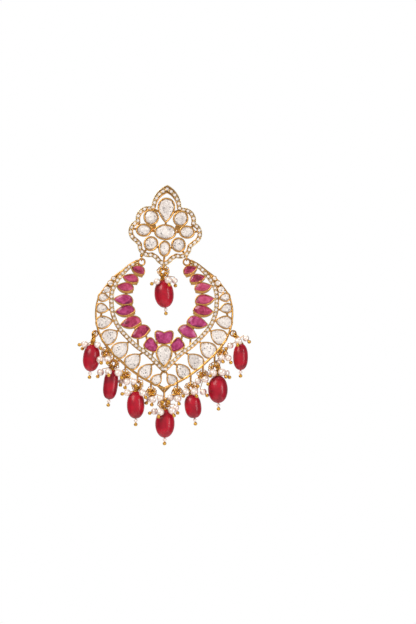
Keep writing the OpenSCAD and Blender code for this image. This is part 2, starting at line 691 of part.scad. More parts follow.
// Wire of five sides through a line of points
function unit(v) = v / norm(v);
function tangents(line) = [
    for (i = [0:len(line) - 1]) unit(line[min(i + 1, len(line) - 1)] - line[max(i - 1, 0)])
];
function square_to(v, t) = unit(v - (v * t) * t);
function normals(t, done) =
    len(done) == len(t) ? done
        : normals(t, concat(done, [square_to(done[len(done) - 1], t[len(done)])]));
module wire(line, first_normal, r, sides = 5) {
    t = tangents(line);
    n = normals(t, [square_to(first_normal, t[0])]);
    points = [for (i = [0:len(line) - 1], k = [0:sides - 1])
        line[i] + r * (cos(360 * k / sides) * n[i] + sin(360 * k / sides) * cross(t[i], n[i]))];
    walls = [for (i = [0:len(line) - 2], k = [0:sides - 1])
        let (j = (k + 1) % sides, a = i * sides, b = a + sides)
        [a + k, b + k, b + j, a + j]];
    ends = [[for (k = [0:sides - 1]) k], [for (k = [1:sides]) len(points) - k]];
    polyhedron(points, concat(walls, ends));
}

// Head pin: an eye on the ring, a wire that bends to its bead or pearl, and a ball at the end
function pushed_out(q, c, r) = c + max(1, r / norm(q - c)) * (q - c);
function eye(h, place, goal) =
    let (m = on_ring(h, place), out = square_to(goal - m, across(h)), side = cross(across(h), out))
    concat(
        [for (i = [0:eye_steps]) let (t = eye_from + (eye_to - eye_from) * i / eye_steps)
            m + loop_r * (cos(t) * out + sin(t) * side)],
        [m + (loop_r + eye_neck) * out]
    );
module pin(h, place, points, r) {
    end = points[len(points) - 1];
    wire(concat(eye(h, place, points[0]), points), across(h), r);
    translate(end) aim(end - points[len(points) - 2]) rotate([0, -90, 0]) sphere(r = ball_r);
}
module bead_pin(h, b) {
    c = bead_middle_point(b);
    d = down(b[5]);
    ball = c + (b[4] + 2 * end_pearl_r + ball_r + 3 * touch_gap) * d;
    top = c - (b[4] + touch_gap) * d;
    pin(h, 0, [top, ball], bead_pin_r);
}
module pearl_pin(h, p) {
    c = pearl_middle(p);
    d = to_ball(p);
    elbow = c - (p[5] + pin_neck) / norm(d) * d;
    start = eye(h, p[1], elbow)[eye_steps + 1];
    bend = pushed_out((start + elbow) / 2, c, p[5] + pin_neck + pin_r);
    pin(h, p[1], [bend, elbow, c + d], pin_r);
}
module pearl_solid(p) {
    translate(pearl_middle(p)) aim(to_ball(p)) drilled_ball(p[5], pearl_bore_r);
}
module jump_ring(h) {
    translate(ring_middle(h)) {
        if (h[3] == 0) front_ring(h[4], ring_wire_r);
        if (h[3] != 0) side_ring(h[4], ring_wire_r, h[2]);
    }
}
// The drops from one hanger to another
module pins(from, to) {
    color(gold) translate([crescent_x, 0, 0]) {
        for (p = PEARLS) if (p[0] >= from && p[0] <= to) pearl_pin(HANGERS[p[0]], p);
        for (b = BEADS) if (b[0] >= from && b[0] <= to) bead_pin(HANGERS[b[0]], b);
    }
}
module pearls(from, to) {
    color(pearl) translate([crescent_x, 0, 0]) {
        for (p = PEARLS) if (p[0] >= from && p[0] <= to) pearl_solid(p);
        for (b = BEADS) if (b[0] >= from && b[0] <= to) end_pearl(b);
    }
}
module drop_rings() {
    color(gold) translate([crescent_x, 0, 0]) for (h = HANGERS) jump_ring(h);
}
module middle_pins() {
    color(gold) {
        for (p = MIDDLE_PEARLS) pearl_pin(MIDDLE_HANGER, p);
        bead_pin(MIDDLE_HANGER, MIDDLE_BEAD);
    }
}
module middle_pearls() {
    color(pearl) {
        for (p = MIDDLE_PEARLS) pearl_solid(p);
        end_pearl(MIDDLE_BEAD);
    }
}

stud_frame();
ear_post();
for (s = stud_stones()) stud_stone(s);
crescent_frame();
for (i = [1:len(LEAVES)], side = ["left", "right"])
    leaf_stone(i - 1, side);
petal(petal_side, true);  // petal_left
petal(petal_top, false);
petal(petal_side, false);  // petal_right
stone_vee();
outer_stones("left");  // outer_stones_left
outer_stones("right");  // outer_stones_right
round_stones();
crescent_pave();
color(gold) jump_ring(MIDDLE_HANGER);  // middle_ring
middle_pins();
middle_pearls();
bead_solid(MIDDLE_BEAD);  // bead_middle
drop_rings();
pearls(0, 6);  // pearls_left
pearls(7, 12);  // pearls_right
for (i = [1:len(BEADS)])
    pins(PIN_GROUPS[i - 1][0], PIN_GROUPS[i - 1][1]);
for (i = [1:len(BEADS)])
    translate([crescent_x, 0, 0]) bead_solid(BEADS[i - 1]);
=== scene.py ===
import math
import random

import bmesh
import bpy
from mathutils import Matrix, Vector


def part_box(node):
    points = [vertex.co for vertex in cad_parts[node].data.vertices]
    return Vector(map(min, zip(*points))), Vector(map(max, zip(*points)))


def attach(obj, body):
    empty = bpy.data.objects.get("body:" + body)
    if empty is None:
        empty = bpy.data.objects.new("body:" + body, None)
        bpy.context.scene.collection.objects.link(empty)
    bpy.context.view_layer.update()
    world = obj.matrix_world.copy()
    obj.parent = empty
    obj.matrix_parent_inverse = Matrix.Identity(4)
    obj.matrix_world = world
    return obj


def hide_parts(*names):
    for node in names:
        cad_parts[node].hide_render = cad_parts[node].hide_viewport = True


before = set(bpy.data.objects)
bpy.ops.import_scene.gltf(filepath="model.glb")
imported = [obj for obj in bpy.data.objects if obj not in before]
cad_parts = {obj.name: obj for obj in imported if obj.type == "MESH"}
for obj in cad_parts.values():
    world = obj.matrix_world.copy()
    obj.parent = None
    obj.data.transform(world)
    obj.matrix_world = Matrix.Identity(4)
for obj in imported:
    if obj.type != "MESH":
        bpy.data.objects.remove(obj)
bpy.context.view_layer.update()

MM = 0.001
chance = random.Random(11)


# Cast frames
# The open frames of the stud and of the crescent. Brass, cast, cleaned and gold plated:
# bright at the front, and brown where it lies deep, partly a patina in the hollows and
# partly painted shade of the recesses. Each frame is one casting with its settings,
# channel, struts and loops.

def linear(hex_colour):
    """An sRGB hex colour as the linear numbers that a shader takes"""
    parts = [int(hex_colour[i:i + 2], 16) / 255 for i in (1, 3, 5)]
    return [p / 12.92 if p <= 0.04045 else ((p + 0.055) / 1.055) ** 2.4 for p in parts] + [1.0]


def new_material(name):
    material = bpy.data.materials.new(name)
    material.use_nodes = True
    material.node_tree.nodes.clear()
    return material


def add(material, kind, settings=None, links=None):
    """Adds a shader node with its settings and the sockets that feed it"""
    made = material.node_tree.nodes.new("ShaderNode" + kind)
    for name, value in (settings or {}).items():
        if isinstance(name, str) and name[0].islower():
            setattr(made, name, value)
        else:
            made.inputs[name].default_value = value
    for name, source in (links or {}).items():
        material.node_tree.links.new(source, made.inputs[name])
    return made


def ramp(material, source, stops):
    """Colours or greys along a pattern: its two ends first, then the stops between them"""
    made = add(material, "ValToRGB", links={"Fac": source})
    for element, (place, colour) in zip(list(made.color_ramp.elements), stops):
        element.position, element.color = place, colour
    for place, colour in stops[2:]:
        made.color_ramp.elements.new(place).color = colour
    return made.outputs["Color"]


def grey(value):
    return [value, value, value, 1.0]


def finish_material(material, shader):
    add(material, "OutputMaterial", links={"Surface": shader.outputs["BSDF"]})
    return material


back_bright_from, back_bright_to = -0.45, -0.12       # y in mm where the back begins to turn bright, free of the painted shade, and is full
ALL_BRIGHT = (-21, -20)                 # depths behind everything, so that no painted shade of depth is left


def plated_gold(name, light, deep, roughness, deep_from, deep_to, grain_mm, metallic=1.0):
    """Plated brass: brown where it lies deep between deep_from and deep_to, in mm, a patina in
    the hollows that is also painted shade of the recesses, and bright again on the back"""
    material = new_material(name)
    place = add(material, "TexCoord").outputs["Object"]
    depth = add(material, "SeparateXYZ", links={"Vector": place}).outputs["Y"]
    clouds = add(material, "TexNoise", {"Scale": 1 / (1.3 * MM), "Detail": 3.0}, {"Vector": place})
    # Painted shade: brown the deeper a surface lies behind the front, partly patina in the hollows
    near = add(material, "MapRange", {
        "From Min": -deep_from * MM, "From Max": -deep_to * MM, "To Min": 0.0, "To Max": 1.0,
    }, {"Value": depth})
    # The back turns bright again, free of the painted shade
    back = add(material, "MapRange", {
        "From Min": back_bright_from * MM, "From Max": back_bright_to * MM, "To Min": 0.0, "To Max": 0.9,
    }, {"Value": depth})
    out_of_painted_shade = add(material, "Math", {"operation": "MAXIMUM"},
                       {0: near.outputs["Result"], 1: back.outputs["Result"]})
    worn = add(material, "Math", {"operation": "MULTIPLY_ADD", 1: 0.5, 2: -0.18},
               {0: clouds.outputs["Fac"]})
    fac = add(material, "Math", {"operation": "ADD", "use_clamp": True},
              {0: out_of_painted_shade.outputs["Value"], 1: worn.outputs["Value"]})
    colour = ramp(material, fac.outputs["Value"],
                  [(0.1, linear(deep)), (0.85, linear(light))])
    gloss = ramp(material, clouds.outputs["Fac"],
                 [(0.3, grey(roughness - 0.06)), (0.75, grey(roughness + 0.1))])
    grain = add(material, "TexNoise", {"Scale": 1 / (grain_mm * MM), "Detail": 2.0},
                {"Vector": place})
    bump = add(material, "Bump", {"Strength": 0.25, "Distance": 0.05 * MM},
               {"Height": grain.outputs["Fac"]})
    shader = add(material, "BsdfPrincipled",
                 {"Metallic": metallic, "Coat Weight": 0.3, "Coat Roughness": 0.12},
                 {"Base Color": colour, "Roughness": gloss, "Normal": bump.outputs["Normal"]})
    return finish_material(material, shader)


# Brown from 0.3 to 1.7 mm deep: patina, and painted shade of the recesses
cast_gold = plated_gold("cast_gold_plate", "#CE9852", "#763F14", 0.32, 0.3, 1.7, 0.35)


def merged(node):
    """A CAD node's mesh, its loose triangles joined at their corners"""
    bm = bmesh.new()
    bm.from_mesh(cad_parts[node].data)
    bmesh.ops.remove_doubles(bm, verts=bm.verts, dist=1e-7)
    return bm


def piece(name, bm, material, body, stands_for=(), smooth=180):
    """Makes a finished mesh a piece that moves with its body, with edges sharper than smooth
    degrees left sharp"""
    mesh = bpy.data.meshes.new(name)
    bmesh.ops.recalc_face_normals(bm, faces=bm.faces)
    bm.to_mesh(mesh)
    bm.free()
    mesh.materials.append(material)
    mesh.shade_smooth()
    if smooth < 180:
        mesh.set_sharp_from_angle(angle=math.radians(smooth))
    made = bpy.data.objects.new(name, mesh)
    bpy.context.scene.collection.objects.link(made)
    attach(made, body)
    if stands_for:
        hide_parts(*stands_for)
    return made


turned_edge = 35        # degrees from which an edge of worked metal stays sharp
for frame_node, body in (("stud_frame", "stud"), ("crescent_frame", "crescent")):
    casting = merged(frame_node)
    bmesh.ops.dissolve_limit(casting, angle_limit=math.radians(1), verts=casting.verts,
                             edges=casting.edges)
    piece(frame_node + "_cast", casting, cast_gold, body, [frame_node], turned_edge)


# Ear post
# A straight pin with a round pad, soldered behind the stud. Drawn wire, plated like the
# rest, so it is smooth and even in tone, and its tip is rounded for the ear.

drawn_gold = plated_gold("drawn_gold_wire", "#D09A40", "#683A10", 0.26, *ALL_BRIGHT, 0.6)


def turned(profile, turn_axis, steps):
    """A form turned on a lathe: its profile spun round an axis through the origin"""
    bm = bmesh.new()
    line = [bm.verts.new(p) for p in profile]
    edges = [bm.edges.new(pair) for pair in zip(line, line[1:])]
    bmesh.ops.spin(bm, geom=line + edges, cent=(0, 0, 0), axis=turn_axis, angle=math.tau,
                   steps=steps, use_merge=True)
    bmesh.ops.remove_doubles(bm, verts=bm.verts, dist=1e-7)
    return bm


# Radius and y of the post from the middle of its pad to its tip, with a groove for the catch
post_low, post_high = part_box("ear_post")
pad_r, wire_r = 2.0 * MM, 0.45 * MM
back, tip = post_low.y, post_high.y
post_profile = [(0, back), (pad_r - 0.1 * MM, back), (pad_r, back + 0.1 * MM),
                (pad_r, back + 0.38 * MM), (pad_r - 0.12 * MM, back + 0.5 * MM),
                (wire_r + 0.3 * MM, back + 0.5 * MM), (wire_r + 0.08 * MM, back + 0.6 * MM),
                (wire_r, back + 0.9 * MM), (wire_r, tip - 1.9 * MM),
                (wire_r - 0.09 * MM, tip - 1.75 * MM), (wire_r - 0.09 * MM, tip - 1.45 * MM),
                (wire_r, tip - 1.3 * MM), (wire_r, tip - 0.5 * MM), (0.36 * MM, tip - 0.2 * MM),
                (0.2 * MM, tip - 0.05 * MM), (0, tip)]
post = turned([(r, y, 0) for r, y in post_profile], (0, 1, 0), 32)
piece("ear_post_wire", post, drawn_gold, "stud", ["ear_post"], turned_edge)


# Uncut pale stones
# Flat uncut stones, ground with a few broad uneven facets and set over bright foil. They
# are glassy and nearly white, with veils and a few dark specks; each facet is painted with
# a glint of its own tone, from white to a painted warm grey shade.

def loose_parts(bm):
    """Vertices in groups that hang together, in a fixed order, all left tagged"""
    parts = []
    for v in bm.verts:
        v.tag = False
    for first in bm.verts:
        if first.tag:
            continue
        first.tag = True
        part, reached = [], [first]
        while reached:
            v = reached.pop()
            part.append(v)
            for e in v.link_edges:
                other = e.other_vert(v)
                if not other.tag:
                    other.tag = True
                    reached.append(other)
        parts.append(part)
    return parts


skin = 0.03         # in mm: points this near a stone's back or table aren't on its girdle
level_share = 0.7   # a table faces the front at least this squarely


def seats(node):
    """Each stone of a node: its girdle line, the way it faces, and its back and table"""
    bm = merged(node)
    found = []
    for part in loose_parts(bm):
        sides = {}
        for v in part:
            for f in v.link_faces:
                key = tuple(round(c, 2) for c in f.normal)
                sides[key] = sides.get(key, Vector()) + f.normal * f.calc_area()
        level = [s for s in sides.values() if abs(s.y) > level_share * s.length]
        facing = max(level, key=lambda s: s.length).normalized()
        if facing.y > 0:
            facing = -facing
        heights = [v.co.dot(facing) for v in part]
        back, table = min(heights), max(heights)
        girdle = [v for v, h in zip(part, heights) if back + skin * MM < h < table - skin * MM]
        ring, here = [], girdle[0]
        while here:
            ring.append(here.co.copy())
            here.tag = False
            nexts = [e.other_vert(here) for e in here.link_edges]
            here = next((v for v in nexts if v in girdle and v.tag), None)
        turn = sum(((a - ring[0]).cross(b - ring[0]) for a, b in zip(ring, ring[1:])), Vector())
        if turn.dot(facing) < 0:
            ring.reverse()
        centre = sum(ring, Vector()) / len(ring)
        found.append({"ring": ring, "facing": facing, "back": back, "table": table,
                      "girdle": ring[0].dot(facing), "centre": centre})
    bm.free()
    return found


def turn_at(ring, i):
    """The angle by which a closed line turns at a point"""
    before, after = ring[i] - ring[i - 1], ring[(i + 1) % len(ring)] - ring[i]
    return before.angle(after)


def finer(ring, sharp_from=38):
    """The same closed line with twice the points, rounded except at its sharp tips"""
    made, n = [], len(ring)
    for i in range(n):
        a, b, c, d = (ring[(i + k) % n] for k in (-1, 0, 1, 2))
        sharp = max(turn_at(ring, i), turn_at(ring, (i + 1) % n)) > math.radians(sharp_from)
        made += [b.copy(), (b + c) / 2 if sharp else (9 * (b + c) - a - d) / 16]
    return made


def grind(bm, point, normal):
    """Grinds one flat facet on a closed stone"""
    bmesh.ops.bisect_plane(bm, geom=bm.verts[:] + bm.edges[:] + bm.faces[:], dist=1e-8,
                           plane_co=point, plane_no=normal, clear_outer=True)
    rims = [e for e in bm.edges if e.is_boundary]
    if rims:
        bmesh.ops.holes_fill(bm, edges=rims, sides=0)


uneven_turn, uneven_slope = 0.18, 5     # hand grinding: share of a facet, and degrees
girdle_band = 0.06                      # the plain band over the girdle, in mm
tone_line = Vector((0.61, 0.37, 0.7))   # facets take their painted glint tones in order along this line


def ground_stone(seat, top, rings):
    """A stone grown from its girdle to top, and the facets that are ground round it: each
    row of rings has a number of facets, a slope in degrees and a place from 0 to 1"""
    bm = bmesh.new()
    facing, centre = seat["facing"], seat["centre"]
    line = finer(seat["ring"])
    down = facing * (seat["back"] - seat["girdle"])
    floor = bm.faces.new([bm.verts.new(p + down) for p in line])
    walls = bmesh.ops.extrude_face_region(bm, geom=[floor], use_keep_orig=True)["geom"]
    lifted = [v for v in walls if isinstance(v, bmesh.types.BMVert)]
    bmesh.ops.translate(bm, verts=lifted, vec=facing * (top - seat["back"]))
    bmesh.ops.recalc_face_normals(bm, faces=bm.faces)
    across = facing.orthogonal().normalized()
    for count, slope, place in rings:
        first = chance.uniform(0, math.tau)
        for k in range(count):
            turn = first + (k + chance.uniform(-uneven_turn, uneven_turn)) * math.tau / count
            out = Matrix.Rotation(turn, 3, facing) @ across
            reach = max((p - centre).dot(out) for p in line)
            tilt = math.radians(slope + chance.uniform(-uneven_slope, uneven_slope))
            height = seat["girdle"] + girdle_band * MM if place == 1 else top
            point = centre + out * reach * place + facing * (height - seat["girdle"])
            grind(bm, point, out * math.sin(tilt) + facing * math.cos(tilt))
    # Each facet gets a painted glint: a random tone that stands in for what it reflects
    painted_glint = bm.faces.layers.float.new("painted_glint")
    for f in sorted(bm.faces, key=lambda f: f.calc_center_median().dot(tone_line)):
        f[painted_glint] = chance.random()
    return bm


def joined(parts):
    """Several meshes as one"""
    whole = bmesh.new()
    whole.faces.layers.float.new("painted_glint")
    for part in parts:
        mesh = bpy.data.meshes.new("part")
        part.to_mesh(mesh)
        part.free()
        whole.from_mesh(mesh)
        bpy.data.meshes.remove(mesh)
    return whole


def stone_material(name, light, shade, speck, grain_mm, speck_share, roughness, coat):
    """Clear stone over foil: every facet has its own painted glint tone, with veils and dark specks"""
    material = new_material(name)
    place = add(material, "TexCoord").outputs["Object"]
    facet = add(material, "Attribute", {"attribute_name": "painted_glint"}).outputs["Fac"]
    veil = add(material, "TexNoise", {"Scale": 1 / (grain_mm * MM), "Detail": 5.0,
                                      "Roughness": 0.7}, {"Vector": place}).outputs["Fac"]
    tone = add(material, "Math", {"operation": "MULTIPLY_ADD", 1: 0.22},
               {0: facet, 2: veil}).outputs["Value"]
    # The facet's painted glint and the veils set the tone between painted shade and light
    body = ramp(material, tone, [(0.38, linear(shade)), (0.78, linear(light))])
    wobble = add(material, "TexNoise", {"Scale": 1 / (0.45 * MM), "Detail": 2.0},
                 {"Vector": place}).outputs["Color"]
    bent = add(material, "VectorMath", {"operation": "MULTIPLY_ADD", 1: [0.7 * MM] * 3},
               {0: wobble, 2: place}).outputs["Vector"]
    chips = add(material, "TexVoronoi", {"Scale": 1 / (0.7 * MM), "Randomness": 1.0},
                {"Vector": bent})
    dark = ramp(material, chips.outputs["Distance"],
                [(speck_share, grey(1)), (speck_share + 0.08, grey(0))])
    crowd = add(material, "TexNoise", {"Scale": 1 / (2.2 * MM), "Detail": 1.0},
                {"Vector": place}).outputs["Fac"]
    here = ramp(material, crowd, [(0.42, grey(0)), (0.56, grey(1))])
    specks = add(material, "Math", {"operation": "MULTIPLY"}, {0: dark, 1: here}).outputs["Value"]
    colour = add(material, "Mix", {"data_type": "RGBA", 7: linear(speck)},
                 {0: specks, 6: body}).outputs[2]
    bump = add(material, "Bump", {"Strength": 0.5, "Distance": 0.06 * MM},
               {"Height": chips.outputs["Distance"]})
    shader = add(material, "BsdfPrincipled",
                 {"Roughness": roughness, "IOR": 1.7, "Coat Weight": coat, "Coat Roughness": 0.04},
                 {"Base Color": colour, "Normal": bump.outputs["Normal"]})
    return finish_material(material, shader)


uncut_stone = stone_material("uncut_pale_stone", "#F9F1EB", "#BCB0AA", "#5A5658", 0.7, 0.24, 0.16, 0.5)

# Rows of facets: how many, their slope in degrees, and their place from 1 at the girdle
BROAD_CUT = [(8, 48, 1), (6, 24, 0.72), (5, 13, 0.45)]
SMALL_CUT = [(7, 46, 1), (5, 18, 0.6)]
ROUND_CUT = [(7, 22, 1), (5, 10, 0.55)]
stud_stones = ["stone_top", "stone_centre", "stone_bottom", "stone_upper_right",
               "stone_upper_left", "stone_side_right", "stone_side_left",
               "stone_lower_right", "stone_lower_left"]
facet_edge = 4      # degrees from which the edge between two facets stays sharp
stud_wall, pear_wall, round_wall, leaf_wall = 0.44, 0.34, 0.16, 0.26
broad_crown, small_crown, leaf_crown = 0.2, 0.15, 0.12      # height over the solid's table
settings = []       # seat, wall in mm, how far the wall stands over the girdle, and the body
for node in stud_stones + ["stone_vee"]:
    seat = seats(node)[0]
    body, above = ("crescent", 0.4) if node == "stone_vee" else ("stud", 0.45)
    stone = ground_stone(seat, seat["table"] + broad_crown * MM, BROAD_CUT)
    piece(node + "_ground", stone, uncut_stone, body, [node], facet_edge)
    settings.append((seat, stud_wall, above, body))

round_lift, round_growth, round_height = 0.95, 1.18, 0.3
coarse_corner = 60      # degrees: the corners of their coarse rings are rounded too


def raised(seat):
    """A round stone's seat, on top of its tube and wide enough to reach over the wall"""
    centre, lift = seat["centre"], seat["facing"] * round_lift * MM
    ring = finer(seat["ring"], coarse_corner)
    seat["centre"] = centre + lift
    seat["ring"] = [centre + (p - centre) * round_growth + lift for p in ring]
    seat["girdle"] += round_lift * MM
    seat["table"] = seat["girdle"] + round_height * MM
    return seat


for node, cut, wall, above in (("outer_stones_left", SMALL_CUT, pear_wall, 0.4),
                               ("outer_stones_right", SMALL_CUT, pear_wall, 0.4),
                               ("round_stones", ROUND_CUT, round_wall, 0.1)):
    stones = []
    for seat in seats(node):
        if node == "round_stones":
            seat = raised(seat)
        stones.append(ground_stone(seat, seat["table"] + small_crown * MM, cut))
        settings.append((seat, wall, above, "crescent"))
    piece(node + "_ground", joined(stones), uncut_stone, "crescent", [node], facet_edge)


# Red leaves and petals
# Curved pink-red stones cut to leaves, and three petals over the vee. Polished glass, deep
# at the rim, with soft clouds inside; a painted glint of random tone makes each facet paler
# or deeper.

def glass_material(name, light, middle, deep, roughness):
    """Clouded red glass, each facet paler or deeper by a painted glint of random tone"""
    material = new_material(name)
    place = add(material, "TexCoord").outputs["Object"]
    facet = add(material, "Attribute", {"attribute_name": "painted_glint"}).outputs["Fac"]
    clouds = add(material, "TexNoise", {"Scale": 1 / (1.6 * MM), "Detail": 3.0,
                                        "Distortion": 0.8}, {"Vector": place}).outputs["Fac"]
    # Painted glint: the facet's random tone, with the clouds, sets how pale it is
    tone = add(material, "Math", {"operation": "MULTIPLY_ADD", 1: 0.3},
               {0: facet, 2: clouds}).outputs["Value"]
    colour = ramp(material, tone, [(0.4, linear(deep)), (0.95, linear(light)),
                                   (0.6, linear(middle))])
    shader = add(material, "BsdfPrincipled",
                 {"Roughness": roughness, "IOR": 1.4, "Coat Weight": 0.3, "Coat Roughness": 0.1,
                  "Subsurface Weight": 0.12, "Subsurface Scale": 0.4 * MM,
                  "Subsurface Radius": (1.0, 0.3, 0.4)},
                 {"Base Color": colour})
    return finish_material(material, shader)


def outset(ring, facing, distance):
    """A closed line moved outwards in its own plane, without long spikes at sharp tips"""
    made, n = [], len(ring)
    for i, p in enumerate(ring):
        before = (p - ring[i - 1]).normalized().cross(facing)
        after = (ring[(i + 1) % n] - p).normalized().cross(facing)
        side = (before + after).normalized()
        made.append(p + side * distance / max(0.6, side.dot(after)))
    return made


ruby_glass = glass_material("ruby_glass", "#CE5880", "#A42850", "#6A0A2A", 0.28)
plum_glass = glass_material("plum_glass", "#CC5890", "#A0265E", "#680C3C", 0.28)

LEAF_CUT = [(9, 42, 1), (6, 18, 0.6)]
rolled_over = 0.13      # in mm: the leaf stones reach this far under their rims
leaves = ["leaf_%s_%d" % (side, i) for side in ("left", "right") for i in range(1, 8)]
PLUM_LEAVES = ("leaf_left_4", "leaf_left_5", "leaf_right_6", "leaf_right_7")
for node in leaves + ["petal_left", "petal_top", "petal_right"]:
    seat, leaf = seats(node)[0], node.startswith("leaf")
    grown = dict(seat)
    if leaf:
        grown["ring"] = outset(seat["ring"], seat["facing"], rolled_over * MM)
    glass = ruby_glass if leaf and node not in PLUM_LEAVES else plum_glass
    piece(node + "_ground", ground_stone(grown, seat["table"] + leaf_crown * MM, LEAF_CUT),
          glass, "crescent", [node], facet_edge)
    settings.append((seat, leaf_wall if leaf else pear_wall, 0.35 if leaf else 0.4, "crescent"))


# Rolled rims
# The top of every setting's wall, rolled over its stone and burnished to a bright round
# line. Same plated brass as the frames, a little lighter; bright at the front and brown
# where it lies deep, partly patina and partly painted shade.

# Rims, inner rails and the edge wire: brown from 1.0 to 2.2 mm deep, patina and painted shade
burnished_gold_painted_shade = plated_gold("burnished_gold_rim_painted_shade", "#D9A458", "#7C4810", 0.27, 1.0, 2.2, 0.5)


def wires(lines, radius, closed, roundness=2, share_at=None):
    """Round wire along lines of points, thinner where share_at a point is below 1"""
    curve = bpy.data.curves.new("wire", "CURVE")
    curve.dimensions = "3D"
    curve.bevel_depth = radius
    curve.bevel_resolution = roundness
    curve.use_fill_caps = True
    for line in lines:
        spline = curve.splines.new("POLY")
        spline.points.add(len(line) - 1)
        for point, co in zip(spline.points, line):
            point.co = (*co, 1)
            point.radius = share_at(co) if share_at else 1
        spline.use_cyclic_u = closed
    holder = bpy.data.objects.new("wire", curve)
    mesh = bpy.data.meshes.new_from_object(holder)
    bm = bmesh.new()
    bm.from_mesh(mesh)
    bmesh.ops.remove_doubles(bm, verts=bm.verts, dist=1e-7)
    bpy.data.objects.remove(holder)
    bpy.data.curves.remove(curve)
    bpy.data.meshes.remove(mesh)
    return bm


seat_gap = 0.04                     # between a stone and its wall, in mm
rim_sink, rim_swell = 0.1, 0.03     # the rim's middle below the wall's top, and its overhang
for body in ("stud", "crescent"):
    for wall in sorted({s[1] for s in settings if s[3] == body}):
        rims = []
        for seat, this_wall, above, on in settings:
            if on == body and this_wall == wall:
                line = outset(finer(seat["ring"]), seat["facing"], (seat_gap + wall / 2) * MM)
                rims.append([p + seat["facing"] * (above - rim_sink) * MM for p in line])
        piece("rims_%s_%02d" % (body, round(wall * 100)),
              wires(rims, (wall / 2 + rim_swell) * MM, True), burnished_gold_painted_shade, body)


# Channel of small stones
# A channel runs round the stud and along the crescent, between two fine rails. Small white
# stones sit in it in a row, with three gold grains between each two. The outer rail, the
# grains and the floor of the channel are the same plated brass, rubbed pale.

small_stone = stone_material("small_white_stone", "#F6EFEA", "#CDBFB8", "#9A8C88", 0.5, 0.05,
                             0.08, 0.8)
pale_gold = plated_gold("rubbed_gold_grains", "#E2C48E", "#AE8044", 0.3, *ALL_BRIGHT, 0.5)
channel_w, rail_w, channel_depth, bed_depth, bed_flat = 1.5, 0.22, 1.7, 1.42, 0.3
stone_r, stone_h, stone_taper, stud_pitch = 0.6, 0.34, 0.78, 1.6
grain_reach, grain_r, middle_grain_r, grain_sink = 0.44, 0.2, 0.15, 0.04
tight_turn = 0.96       # a shifted line drops the points that come this near it again


def evenly(line, pitch, closed):
    """Points at an even pitch along a line"""
    points = line + [line[0]] if closed else line
    lengths = [(b - a).length for a, b in zip(points, points[1:])]
    count = round(sum(lengths) / pitch)
    pitch, made, walked, i = sum(lengths) / count, [], 0.0, 0
    for k in range(count if closed else count + 1):
        while i < len(lengths) - 1 and walked + lengths[i] < k * pitch:
            walked += lengths[i]
            i += 1
        share = (k * pitch - walked) / max(lengths[i], 1e-9)
        made.append(points[i].lerp(points[i + 1], min(max(share, 0), 1)))
    return made


def directions(line, closed):
    """The way a line runs at each of its points"""
    made, n = [], len(line)
    for i in range(n):
        a = line[i - 1] if closed or i else line[0]
        b = line[(i + 1) % n] if closed or i < n - 1 else line[-1]
        made.append((b - a).normalized())
    return made


def beside(line, offset, closed):
    """The line moved sideways in the front plane, without the knots at tight turns"""
    made = []
    for p, d in zip(line, directions(line, closed)):
        q = p + Vector((-d.z, 0, d.x)) * offset
        if min((q - other).length for other in line) > abs(offset) * tight_turn:
            made.append(q)
    return made


def add_rails(name, outer, inner, closed, body):
    """The outer rail, pale and fine, and the inner one, which is stouter"""
    for part, line, side, extra, material in (("outer", outer, 1, 0.03, pale_gold),
                                              ("inner", inner, -1, 0.08, burnished_gold_painted_shade)):
        rail = beside(line, side * (channel_w - rail_w) / 2 * MM, closed)
        piece("%s_%s_rail" % (name, part), wires([rail], (rail_w / 2 + extra) * MM, closed, 1),
              material, body)


def add_bed(name, line, closed, body):
    """The pale floor on which the small stones lie: a wire between the rails, pressed flat"""
    bed = wires([line], (channel_w / 2 - rail_w) * MM, closed, 1)
    bmesh.ops.scale(bed, verts=bed.verts, vec=(1, bed_flat, 1),
                    space=Matrix.Translation((0, channel_depth * MM, 0)))
    bmesh.ops.translate(bed, verts=bed.verts, vec=(0, (channel_depth - bed_depth) * MM, 0))
    piece(name + "_bed", bed, pale_gold, body)


def stone_and_grains(stones, grains, place, along):
    """One small cut stone, and the three grains in the gap that follows it"""
    side = Vector((-along.z, 0, along.x))
    turn = Matrix((side, along, Vector((0, -1, 0)))).transposed().to_4x4()
    corner_turn = Matrix.Rotation(math.tau / 16, 4, "Z")
    made = bmesh.ops.create_cone(stones, cap_ends=True, segments=8, radius1=stone_r * MM,
                                 radius2=stone_r * MM * stone_taper, depth=stone_h * MM,
                                 matrix=Matrix.Translation(place) @ turn @ corner_turn)
    # Each small stone gets one painted glint tone for all its facets
    painted_glint, tone = stones.faces.layers.float["painted_glint"], chance.random()
    for v in made["verts"]:
        for f in v.link_faces:
            f[painted_glint] = tone
    sunk = Vector((0, grain_sink, 0))
    for reach, radius in ((-grain_reach, grain_r), (0, middle_grain_r), (grain_reach, grain_r)):
        spot = place + (along * stud_pitch / 2 + side * reach + sunk) * MM
        bmesh.ops.create_icosphere(grains, subdivisions=2, radius=radius * MM,
                                   matrix=Matrix.Translation(spot))


def stone_row(name, places, body, replaced):
    """A row of small stones and its grains, along the places of the stones"""
    stones, grains = bmesh.new(), bmesh.new()
    stones.faces.layers.float.new("painted_glint")
    for i, place in enumerate(places):
        near = places[i + 1] if i + 1 < len(places) else places[i - 1]
        along = (near - place).normalized() * (1 if i + 1 < len(places) else -1)
        stone_and_grains(stones, grains, place, along)
    piece(name + "_stones", stones, small_stone, body, replaced, facet_edge)
    piece(name + "_grains", grains, pale_gold, body)


